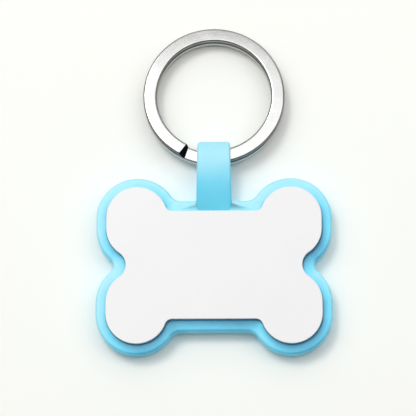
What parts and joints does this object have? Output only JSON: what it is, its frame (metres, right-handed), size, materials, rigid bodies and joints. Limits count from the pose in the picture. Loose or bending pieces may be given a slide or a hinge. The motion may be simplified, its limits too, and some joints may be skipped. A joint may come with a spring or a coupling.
{
  "type": "pet id tag",
  "caption": "Bone-shaped pet id tag: a flat plate for engraving or printing in a soft holder, whose strap loop carries a swinging split ring for the collar.",
  "frame": {"origin": "middle of the bone on its flat back face", "axes": "+X to the right across the bone, +Y from the bone towards the ring, +Z out of the front"},
  "size_m": [0.0382, 0.0544, 0.0051],
  "materials": {
    "blue_silicone": "soft matte moulded silicone, light sky blue",
    "white_plate": "smooth satin white coating, left bare",
    "adhesive": "cloudy double-sided film, hidden",
    "ring_steel": "nickel-plated steel, fine polish lines along the wire"
  },
  "bodies": {
    "holder": {"holder": "blue_silicone", "adhesive_film": "adhesive", "id_plate": "white_plate"},
    "ring": {"split_ring": "ring_steel"}
  },
  "joints": [
    {"name": "ring_swing", "type": "hinge", "parent": "holder", "child": "ring", "pos_m": [0, 0.0181, 0.00257], "axis": [1, 0, 0], "range_deg": [-127, 152]}
  ]
}
